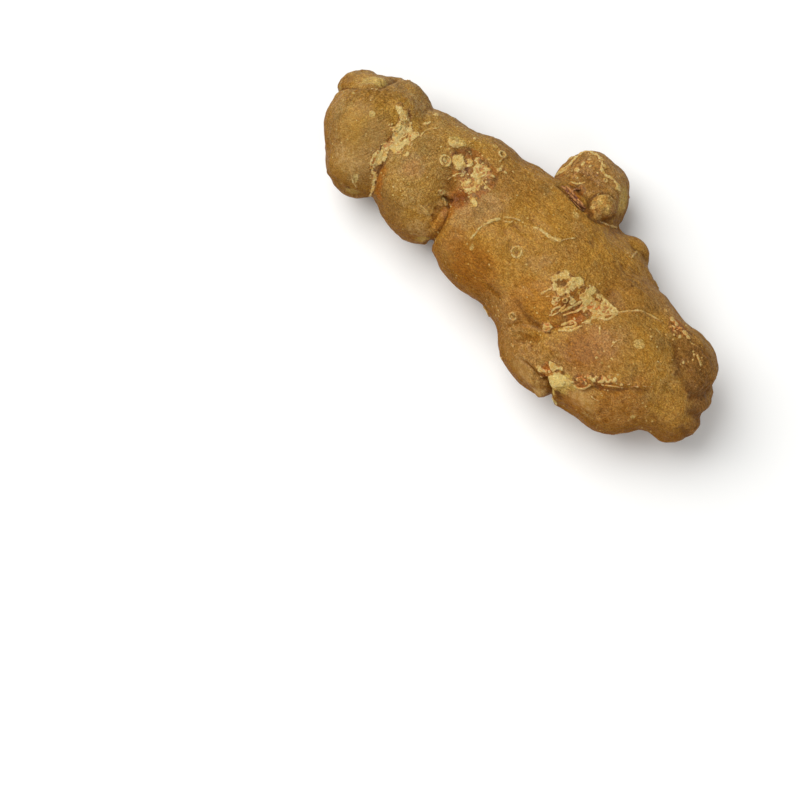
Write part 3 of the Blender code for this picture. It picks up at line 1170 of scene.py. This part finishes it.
def bitsBetween(mesh, low, high):
    # a copy with only the bits of cork whose middle lies between two places along X
    form = formOf(mesh)
    others = []
    for bit in bitsOf(form):
        middle = sum(f.calc_center_median().x for f in bit) / len(bit)
        others += [] if low <= middle < high else bit
    bmesh.ops.delete(form, geom=others, context="FACES")
    return meshOf(form, "corkBits")


def closedShell(mesh, name):
    # gives a sheet a thickness below it and closes its edge
    sheet = addObject(name + "Sheet", mesh)
    thicken = sheet.modifiers.new("Thicken", "SOLIDIFY")
    thicken.thickness = cork["thickness"] * mm
    thicken.offset = -1.0
    shell = modified(sheet)
    shell.name = name
    shadeSmooth(shell)
    return addObject(name, shell)


def makeCork():
    global points, normals
    mesh = cutCork()
    points, normals = meshPoints(mesh)
    pressAllMarks()
    rise, level = corkRelief()
    pushOut(mesh, rise)
    keepMasks(mesh, {"crest": level} | {name: masks[name] for name in cork["masks"]})
    mesh = withoutBuried(mesh, rise)
    return [closedShell(bitsBetween(mesh, *ends), name) for name, ends in cork["pieces"].items()]


surface = surfaceOf(skin)
corkPieces = makeCork()
for piece in corkPieces:
    print("Cork made:", piece.name, triangles(piece.data), "triangles")


# Dried rootlets in the axil of the side branch

rootlets = {
    "paths": [  # pixels of the photograph, and the radius in mm
        ([(561, 186), (566, 190), (570, 195), (575, 200)], 0.42),
        ([(565, 186), (570, 190), (575, 196), (579, 200)], 0.3),
        ([(568, 193), (573, 198), (579, 204), (586, 209)], 0.34),
        ([(574, 197), (579, 201), (584, 206)], 0.26),
        ([(570, 199), (576, 205), (583, 212)], 0.24),
        ([(571, 192), (576, 190), (581, 190)], 0.36),
    ],
    "pace": 0.8,  # pixels between the rings of a rootlet
    "evenness": 3,  # rings on each side that a ring's place is the mean of
    "sides": 9,
    "bury": 0.25,  # share of the radius that lies below the skin
    "tip": 0.25,  # share of the radius that would be left at a pointed end
    "blunt": 0.12,  # share of the taper that is cut off at each end
    "knobbly": 0.6,
    "knobs": (9, 2),  # higher gives more of them, along and round a rootlet
}


def evenLine(places):
    # the mean of each place and those beside it
    reach, last = rootlets["evenness"], len(places) - 1
    near = [[places[min(max(i + k, 0), last)] for k in range(-reach, reach + 1)] for i in range(last + 1)]
    return [sum(some, Vector()) / len(some) for some in near]


def rootletTube(form, knots, radius, seed):
    # a tapering tube that lies along the skin, its ends closed
    spots = [touch(p.x, p.y) for p in curveThrough(knots, rootlets["pace"])]
    line = evenLine([place for place, normal in spots])
    tip, blunt = rootlets["tip"], rootlets["blunt"]
    along, around = rootlets["knobs"]
    rings = []
    for i, place in enumerate(line):
        heading = (line[min(i + 1, len(line) - 1)] - line[max(i - 1, 0)]).normalized()
        side = heading.cross(spots[i][1]).normalized()
        up = side.cross(heading)
        share = i / (len(line) - 1)
        thick = radius * mm * (tip + (1 - tip) * math.sin(math.pi * (blunt + (1 - 2 * blunt) * share)))
        ring = []
        for k in range(rootlets["sides"]):
            turn = math.tau * k / rootlets["sides"]
            spot = Vector((share * along, around * math.cos(turn), around * math.sin(turn) + seed))
            knob = 1 + rootlets["knobbly"] * noise.noise(spot)
            out = side * math.cos(turn) + up * math.sin(turn)
            ring.append(form.verts.new(place + up * thick * (1 - rootlets["bury"]) + out * thick * knob))
        rings.append(ring)
    for a, b in zip(rings, rings[1:]):
        for k in range(len(a)):
            form.faces.new((a[k], a[k - 1], b[k - 1], b[k]))
    form.faces.new(rings[0])
    form.faces.new(rings[-1][::-1])


def makeRootlets():
    form = bmesh.new()
    for k, (knots, radius) in enumerate(rootlets["paths"]):
        rootletTube(form, knots, radius, 5.3 * k)
    bmesh.ops.recalc_face_normals(form, faces=form.faces)
    mesh = meshOf(form, "axilRootlets")
    shadeSmooth(mesh)
    return addObject("axilRootlets", mesh)


axilRootlets = makeRootlets()
print("Rootlets laid")


# Node groups

class Graph:
    # short words for building nodes; a value may be a number, a colour or another node's socket
    def __init__(self, tree):
        self.tree = tree

    def put(self, socket, value):
        if isinstance(value, bpy.types.NodeSocket):
            self.tree.links.new(value, socket)
        else:
            socket.default_value = value

    def add(self, kind, inputs=None, **settings):
        node = self.tree.nodes.new(kind)
        for name, value in settings.items():
            setattr(node, name, value)
        for name, value in (inputs or {}).items():
            self.put(node.inputs[name], value)
        return node

    def calc(self, operation, a, b=0.0):
        node = self.add("ShaderNodeMath", operation=operation)
        self.put(node.inputs[0], a)
        self.put(node.inputs[1], b)
        return node.outputs[0]

    def times(self, a, b):
        return self.calc("MULTIPLY", a, b)

    def total(self, parts):
        # the sum of values, each with its share
        values = [self.times(value, share) for value, share in parts]
        while len(values) > 1:
            values[:2] = [self.calc("ADD", values[0], values[1])]
        return values[0]

    def scale(self, size):
        # the scale of a texture whose lumps are size mm across
        if isinstance(size, bpy.types.NodeSocket):
            return self.calc("DIVIDE", 1 / mm, size)
        return 1 / (size * mm)

    def noise(self, place, size, detail=2.0, rough=0.5, warp=0.0):
        inputs = {"Vector": place, "Scale": self.scale(size), "Detail": detail, "Roughness": rough}
        return self.add("ShaderNodeTexNoise", inputs | {"Distortion": warp}).outputs["Fac"]

    def fit(self, value, low, high, newLow=0.0, newHigh=1.0):
        inputs = {"Value": value, "From Min": low, "From Max": high, "To Min": newLow, "To Max": newHigh}
        return self.add("ShaderNodeMapRange", inputs, interpolation_type="SMOOTHSTEP").outputs[0]

    def patches(self, place, kinds):
        # a soft noise for each name, from its size in mm, detail, roughness and range
        return {name: self.fit(self.noise(place, *kind[:3]), *kind[3:]) for name, kind in kinds.items()}

    def mix(self, share, a, b, way="MIX"):
        node = self.add("ShaderNodeMix", data_type="RGBA", blend_type=way)
        for name, value in (("Factor_Float", share), ("A_Color", a), ("B_Color", b)):
            self.put(next(s for s in node.inputs if s.identifier == name), value)
        return next(s for s in node.outputs if s.identifier == "Result_Color")

    def tinted(self, tone, tint):
        return self.mix(1.0, tone, tint, "MULTIPLY")

    def layered(self, tone, layers, mask, tints):
        # lays colours over a tone, each by a mask and a share of it
        for name, share, tint in layers:
            tone = self.mix(self.times(mask[name], share), tone, tints[tint])
        return tone

    def group(self, tree, **inputs):
        return self.add("ShaderNodeGroup", inputs, node_tree=tree).outputs

    def kept(self, names):
        # the masks that are kept on the mesh
        return {name: self.add("ShaderNodeAttribute", attribute_name=name).outputs["Fac"] for name in names}

    def bump(self, height, distance):
        inputs = {"Height": height, "Strength": 1.0, "Distance": distance * mm}
        return self.add("ShaderNodeBump", inputs).outputs[0]

    def shade(self, values):
        shader = self.tree.nodes["Principled BSDF"]
        for name, value in values.items():
            self.put(shader.inputs[name], value)


def paint(red, green, blue):
    # a colour as it looks on screen, 0 to 255, as a shader colour
    shares = [c / 255 for c in (red, green, blue)]
    return tuple(s / 12.92 if s <= 0.04045 else ((s + 0.055) / 1.055) ** 2.4 for s in shares) + (1.0,)


def newGroup(name, values, outputs):
    # a group that is given a place on the object and values, which start as they are named here
    tree = bpy.data.node_groups.new(name, "ShaderNodeTree")
    tree.interface.new_socket("Place", in_out="INPUT", socket_type="NodeSocketVector")
    for title, start in values.items():
        socket = tree.interface.new_socket(title, in_out="INPUT", socket_type="NodeSocketFloat")
        socket.default_value = start
    for title in outputs:
        tree.interface.new_socket(title, in_out="OUTPUT", socket_type="NodeSocketFloat")
    graph = Graph(tree)
    return graph, graph.add("NodeGroupInput").outputs, graph.add("NodeGroupOutput").inputs


def makeFineGrain():
    # pebbly skin: a height, and a mask of the low places between the pebbles
    g, given, out = newGroup("fineGrain", {"Size": 1.0}, ["Height", "Low"])
    inputs = {"Vector": given["Place"], "Scale": g.scale(given["Size"]), "Randomness": 1.0}
    cells = g.add("ShaderNodeTexVoronoi", inputs, feature="SMOOTH_F1")
    blur = g.noise(given["Place"], given["Size"], 3.0, 0.6)
    pebble = g.fit(cells.outputs["Distance"], 0.05, 0.75, 1.0, 0.0)
    g.put(out["Height"], g.total([(pebble, 0.5), (blur, 0.5)]))
    g.put(out["Low"], g.fit(blur, 0.5, 0.3))
    return g.tree


def makeWrinkles():
    # long thin folds whose length lies along X of the place given
    starts = {"Size": 1.0, "Turn": 0.0, "Length": 5.0}
    g, given, out = newGroup("wrinkles", starts, ["Height", "Line"])
    inputs = {"Vector": given["Place"], "Angle": given["Turn"]}
    turned = g.add("ShaderNodeVectorRotate", inputs, rotation_type="Z_AXIS").outputs[0]
    inputs = {"X": g.calc("DIVIDE", 1.0, given["Length"]), "Y": 1.0, "Z": 1.0}
    place = g.add("ShaderNodeVectorMath", operation="MULTIPLY")
    g.put(place.inputs[0], turned)
    g.put(place.inputs[1], g.add("ShaderNodeCombineXYZ", inputs).outputs[0])
    folds = g.noise(place.outputs[0], given["Size"], 3.0, 0.55, 0.35)
    ridge = g.calc("ABSOLUTE", g.calc("SUBTRACT", folds, 0.5))
    g.put(out["Height"], g.fit(ridge, 0.0, 0.12))
    g.put(out["Line"], g.fit(ridge, 0.05, 0.0))
    return g.tree


def makeFlecks():
    # scattered small round flecks, of many sizes
    g, given, out = newGroup("flecks", {"Size": 1.0, "Share": 0.3}, ["Mask"])
    scale = g.calc("DIVIDE", 0.4 / mm, given["Size"])
    cells = g.add("ShaderNodeTexVoronoi", {"Vector": given["Place"], "Scale": scale, "Randomness": 1.0})
    chance = g.add("ShaderNodeSeparateColor", {"Color": cells.outputs["Color"]}).outputs
    radius = g.times(g.fit(chance["Red"], g.calc("SUBTRACT", 1.0, given["Share"]), 1.0), 0.3)
    g.put(out["Mask"], g.fit(g.calc("SUBTRACT", radius, cells.outputs["Distance"]), 0.0, 0.08))
    return g.tree


def makeTornEdge():
    # turns a soft mask into a ragged one
    g, given, out = newGroup("tornEdge", {"Mask": 0.0, "Size": 1.0, "Tear": 0.5}, ["Mask"])
    rag = g.noise(given["Place"], given["Size"], 3.0, 0.6)
    push = g.times(g.calc("SUBTRACT", rag, 0.5), given["Tear"])
    g.put(out["Mask"], g.fit(g.calc("ADD", given["Mask"], push), 0.38, 0.62))
    return g.tree


fineGrain, wrinkles, flecks, tornEdge = makeFineGrain(), makeWrinkles(), makeFlecks(), makeTornEdge()
print("Node groups made")


# Materials

def startMaterial(name):
    # a new material, its graph, and the place on the object
    material = bpy.data.materials.new(name)
    material.use_nodes = True
    g = Graph(material.node_tree)
    return material, g, g.add("ShaderNodeTexCoord").outputs["Object"]


def dress(piece, material):
    piece.data.materials.clear()
    piece.data.materials.append(material)
    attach(piece, "root")


waxySkin = {
    "amber": paint(167, 123, 50),
    "tan": paint(161, 122, 66),
    "olive": paint(145, 110, 54),
    # deep tones of the painted shade: the saturated amber of the flesh at the front, a greyer brown at the
    # back
    "deepFront": paint(128, 81, 19),
    "deepBack": paint(134, 94, 43),
    # dark olive brown of the old end, partly painted shade
    "oldAndShaded": paint(118, 82, 42),
    # orange of the flesh, partly a painted glow of light through it
    "warm": paint(158, 86, 14),
    # dark red brown of cracks and pits, also laid as painted shade at the bottom of the folds
    "crevice": paint(70, 32, 14),
    "yellow": paint(222, 194, 100),
    "crustDull": paint(180, 134, 64),
    "stain": paint(150, 84, 30),
    "mauve": paint(108, 74, 48),
    "pale": paint(196, 168, 98),
    # pale tone of the painted glare and painted light
    "paintedLight": paint(190, 154, 96),
    # tone of the light specks, painted glints
    "glint": paint(212, 180, 108),
    "crownTint": (0.955, 1.02, 1.08, 1.0),  # the tints are multiplied into the tone
    # tints of the speckles: darker reddish ones, and lighter ones painted as glints
    "lowTint": (0.58, 0.51, 0.39, 1.0),
    "glintTint": (1.4, 1.42, 1.54, 1.0),
    "roughLow": (0.68, 0.6, 0.48, 1.0),
    "roughHigh": (1.22, 1.22, 1.24, 1.0),
    # tints of the mottle: painted shade in the low places of the coarse bumps, painted highlight on their
    # high places
    "mottleLow": (0.86, 0.79, 0.64, 1.0),
    "mottleHigh": (1.1, 1.14, 1.25, 1.0),
    "layers": [  # mask, share of it, and the colour that it lays over the tone
        # the layers for the flanks, the darker places and the hollows lay painted shade, the old end's
        # layer partly so, the pale glare layer lays painted light, and the warm layer is partly a painted
        # glow
        ("flank", 0.85, "deepShade"), ("deepShade", 0.8, "deepShade"), ("oldAndShaded", 0.85, "oldAndShaded"), ("paintedLight", 0.6, "paintedLight"),
        ("yellow", 0.75, "yellow"), ("warm", 0.58, "warm"), ("hollow", 0.8, "deepShade"),
        ("stain", 0.5, "stained"), ("crust", 0.6, "crusted"), ("pale", 0.6, "pale"),
    ],
    "patches": {  # size in mm, detail, roughness, and the range of the noise that is used
        "tan": (22, 3, 0.5, 0.38, 0.62),
        "olive": (9, 4, 0.6, 0.48, 0.72),
        "paintedLight": (3.2, 3, 0.6, 0.3, 0.65),
        "stain": (3, 2, 0.5, 0.42, 0.6),
        "crust": (1.3, 3, 0.5, 0.42, 0.6),
        "speckle": (0.44, 3, 0.7, 0.27, 0.73),
        "rough": (0.9, 3, 0.65, 0.35, 0.65),
        "crowd": (7, 2, 0.5, 0.4, 0.65),
        "sheen": (1.2, 3, 0.5, 0.3, 0.7, 0.27, 0.52),  # to this range of roughness
    },
    "torn": {"stain": (2.4, 1.0), "crust": (0.9, 1.2), "pale": (0.7, 0.7)},  # size in mm, and tear
    "hollowRange": (0.15, 1.2),
    "coarse": (1.6, 3, 0.6),
    "mottleRange": (0.3, 0.7),
    "longFolds": 1.4,  # mm
    "fineFolds": 0.55,
    "foldLengths": (2.6, 3.5),  # in sizes, along the body and across the crown
    "grainSize": 0.7,
    "shades": {"fine": (0.89, 1.1), "line": (1.02, 0.88), "low": (1.02, 0.9)},  # brightness at 0 and 1: painted highlight on the fine folds' ridges, painted shade in the long folds' lines and the grain's low places
    "sleekGrain": 0.4,  # share of the grain that sleek skin has
    "roughShare": 0.7,
    "dots": {"Size": 0.5, "Share": 0.7},
    "dotShares": (0.1, 0.65),
    "creviceShare": 0.8,
    "crustRoughness": 0.25,
    "coat": (0.0, 0.8, 0.12, 0.0),  # range of the flank mask, and the coat at its two ends
    "bumps": {"grain": 0.7, "long": 0.28, "fine": 0.14, "coarse": 0.6, "dots": 0.2},
    "bumpHeight": 0.42,  # mm
    "shader": {
        "Coat Roughness": 0.24,
        "Subsurface Weight": 0.25,
        "Subsurface Radius": (1.0, 0.5, 0.2),
        "Subsurface Scale": 2 * mm,
        "IOR": 1.18,
        "Specular IOR Level": 0.06,
    },
}


def foldsOfSize(g, place, part, size, onward, over):
    # folds along the body and across the crown: their height and their lines
    turn = math.radians(relief["roundwise"] - 90)
    along = g.group(wrinkles, Place=place, Size=size, Turn=0.0, Length=onward)
    across = g.group(wrinkles, Place=place, Size=size, Turn=turn, Length=over)
    return [g.mix(part, across[name], along[name]) for name in ("Height", "Line")]


def makeWaxySkin(colours):
    material, g, place = startMaterial("waxySkin")
    mask = g.kept(maskNames + ["crust", "hollow", "flank", "front"])
    patch = g.patches(place, colours["patches"])

    # the flesh tone shines through in slow patches, and the masks lay deeper, stained and pale ones over
    # it; the deeper ones on the flanks, in the hollows and at the darker places are painted shade, and the
    # pale glare is painted light
    # pale painted glare and light, in patches
    mask["paintedLight"] = g.times(mask["paintedLight"], patch["paintedLight"])
    # the hollows' painted shade
    mask["hollow"] = g.fit(mask["hollow"], *colours["hollowRange"])
    for name, (size, tear) in colours["torn"].items():
        mask[name] = g.group(tornEdge, Place=place, Mask=mask[name], Size=size, Tear=tear)["Mask"]
    tints = dict(colours)
    # the tone of the painted shade, saturated at the front and greyer at the back
    tints["deepShade"] = g.mix(mask["front"], colours["deepBack"], colours["deepFront"])
    tints["stained"] = g.mix(patch["stain"], colours["stain"], colours["mauve"])
    tints["crusted"] = g.mix(patch["crust"], colours["crustDull"], colours["mauve"])
    tone = g.mix(patch["tan"], colours["amber"], colours["tan"])
    tone = g.mix(patch["olive"], tone, colours["olive"])
    tone = g.layered(tone, colours["layers"], mask, tints)

    # fine grain: pebbles, folds and light specks, with painted shade in the low places of the folds and
    # bumps, painted highlight on their high places, and light specks painted as glints
    start, end = relief["turnsAt"]
    part = g.fit(g.add("ShaderNodeSeparateXYZ", {"Vector": place}).outputs["X"], start * mm, end * mm)
    tone = g.mix(part, g.tinted(tone, colours["crownTint"]), tone)
    long, longLine = foldsOfSize(g, place, part, colours["longFolds"], *colours["foldLengths"])
    fine = foldsOfSize(g, place, part, colours["fineFolds"], *colours["foldLengths"])[0]
    grain = g.group(fineGrain, Place=place, Size=colours["grainSize"])
    coarse = g.noise(place, *colours["coarse"])
    speckle = g.mix(patch["speckle"], colours["lowTint"], colours["glintTint"])
    # the mottle follows the coarse bump: painted shade low, painted highlight high
    mottle = g.mix(g.fit(coarse, *colours["mottleRange"]), colours["mottleLow"], colours["mottleHigh"])
    shades = colours["shades"]
    # painted highlight on the fine folds' ridges, painted shade in the long folds' lines and the grain's
    # low places
    shade = g.times(g.fit(fine, 0.0, 1.0, *shades["fine"]), g.fit(longLine, 0.0, 1.0, *shades["line"]))
    shade = g.times(shade, g.fit(grain["Low"], 0.0, 1.0, *shades["low"]))
    calm = g.fit(mask["sleek"], 0.0, 1.0, 1.0, colours["sleekGrain"])
    tone = g.mix(calm, tone, g.tinted(g.tinted(g.tinted(tone, speckle), mottle), shade))
    patchy = g.mix(patch["rough"], colours["roughLow"], colours["roughHigh"])
    tone = g.mix(g.times(mask["rough"], colours["roughShare"]), tone, g.tinted(tone, patchy))
    dots = g.group(flecks, Place=place, **colours["dots"])["Mask"]
    crowd = g.fit(patch["crowd"], 0.0, 1.0, *colours["dotShares"])
    # light specks, painted glints, more where they crowd
    tone = g.mix(g.times(dots, crowd), tone, colours["glint"])
    # the dark of cracks and pits, and painted shade at the bottom of the folds
    tone = g.mix(g.times(mask["dark"], colours["creviceShare"]), tone, colours["crevice"])

    heights = {"grain": grain["Height"], "long": long, "fine": fine, "coarse": coarse, "dots": dots}
    rise = g.total([(heights[name], share) for name, share in colours["bumps"].items()])
    g.shade({
        "Base Color": tone,
        "Roughness": g.calc("ADD", patch["sheen"], g.times(mask["crust"], colours["crustRoughness"])),
        "Coat Weight": g.fit(mask["flank"], *colours["coat"]),
        "Normal": g.bump(g.times(rise, calm), colours["bumpHeight"]),
    } | colours["shader"])
    return material


paleCork = {
    "crest": paint(190, 164, 98),
    "bright": paint(206, 184, 122),
    "gold": paint(188, 146, 70),
    "low": paint(166, 112, 54),
    "warm": paint(196, 116, 50),
    "yellow": paint(200, 174, 98),
    "dark": paint(92, 58, 34),
    "layers": [("warm", 0.16, "warm"), ("yellow", 0.6, "yellow"), ("dark", 0.6, "dark")],
    "patches": {
        "gold": (1.8, 3, 0.5, 0.4, 0.62),
        "bright": (0.8, 3, 0.5, 0.5, 0.7),
        "shade": (0.36, 3, 0.7, 0.3, 0.68, 0.68, 1.16),  # to this range of brightness
        "sheen": (0.9, 2, 0.5, 0.3, 0.7, 0.5, 0.75),
    },
    "lowWarmth": 0.9,
    "crestRange": (0.2, 0.68),
    "grainSize": 0.45,
    "bumpHeight": 0.2,
    "shader": {
        "Subsurface Weight": 0.2,
        "Subsurface Radius": (1.0, 0.6, 0.3),
        "Subsurface Scale": 0.8 * mm,
        "Specular IOR Level": 0.3,
    },
}


def makePaleCork(colours):
    material, g, place = startMaterial("paleCork")
    mask = g.kept(["crest"] + cork["masks"])
    patch = g.patches(place, colours["patches"])
    tone = g.mix(patch["gold"], colours["crest"], colours["gold"])
    tone = g.mix(patch["bright"], tone, colours["bright"])
    low = g.mix(g.times(mask["warm"], colours["lowWarmth"]), colours["low"], colours["warm"])
    tone = g.mix(g.fit(mask["crest"], *colours["crestRange"]), low, tone)
    tone = g.layered(tone, colours["layers"], mask, colours)
    grain = g.group(fineGrain, Place=place, Size=colours["grainSize"])
    g.shade({
        "Base Color": g.tinted(tone, patch["shade"]),
        "Roughness": patch["sheen"],
        "Normal": g.bump(grain["Height"], colours["bumpHeight"]),
    } | colours["shader"])
    return material


driedRoot = {
    "light": paint(214, 150, 82),
    "dark": paint(112, 56, 28),
    "patches": {"dark": (1.1, 3, 0.5, 0.38, 0.62)},
    "streaks": {"Size": 0.5, "Turn": math.radians(41), "Length": 5.0},
    "streakShare": 0.6,
    "roughness": (0.75, 0.55),  # in the streaks and between them
    "bumpHeight": 0.15,
}


def makeDriedRoot(colours):
    material, g, place = startMaterial("driedRoot")
    streaks = g.group(wrinkles, Place=place, **colours["streaks"])
    tone = g.mix(g.patches(place, colours["patches"])["dark"], colours["light"], colours["dark"])
    g.shade({
        "Base Color": g.mix(g.times(streaks["Line"], colours["streakShare"]), tone, colours["dark"]),
        "Roughness": g.fit(streaks["Height"], 0.0, 1.0, *colours["roughness"]),
        "Normal": g.bump(streaks["Height"], colours["bumpHeight"]),
    })
    return material


corkMaterial = makePaleCork(paleCork)
for piece in corkPieces:
    dress(piece, corkMaterial)
dress(axilRootlets, makeDriedRoot(driedRoot))
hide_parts("rhizome")
dress(rhizome, makeWaxySkin(waxySkin))
print("Pieces painted")


# Studio: floor and lights

studio = {
    "floorSize": 6.0,
    "floorDrop": 0.2,  # mm that the floor lies below the rhizome
    "floorTone": paint(242, 242, 240),
    "floorRoughness": 0.7,
    "skyTone": (1.0, 1.0, 1.0, 1.0),
    "sky": 0.41,
    "lights": {  # power, size and place
        "keyLight": (21.4, 1.3, (-0.75, -0.1, 1.15)),
        "fillLight": (4.6, 1.0, (0.9, -0.7, 0.9)),
    },
}


def addSoftLight(name, power, size, place):
    lamp = bpy.data.lights.new(name, "AREA")
    lamp.energy = power
    lamp.size = size
    light = addObject(name, lamp)
    light.location = place
    light.rotation_euler = (-Vector(place)).to_track_quat("-Z", "Y").to_euler()


def addFloor():
    form = bmesh.new()
    bmesh.ops.create_grid(form, x_segments=1, y_segments=1, size=studio["floorSize"] / 2)
    floor = addObject("studioFloor", meshOf(form, "studioFloor"))
    floor.location.z = -studio["floorDrop"] * mm
    paper = bpy.data.materials.new("palePaper")
    paper.use_nodes = True
    values = {"Base Color": studio["floorTone"], "Roughness": studio["floorRoughness"]}
    Graph(paper.node_tree).shade(values)
    floor.data.materials.append(paper)


def addStudio():
    addFloor()
    world = bpy.data.worlds.new("softSky")
    bpy.context.scene.world = world
    world.use_nodes = True
    sky = world.node_tree.nodes["Background"].inputs
    sky["Color"].default_value = studio["skyTone"]
    sky["Strength"].default_value = studio["sky"]
    for name, (power, size, place) in studio["lights"].items():
        addSoftLight(name, power, size, place)
    bpy.context.scene.view_settings.view_transform = "Standard"


addStudio()
print("Studio ready")
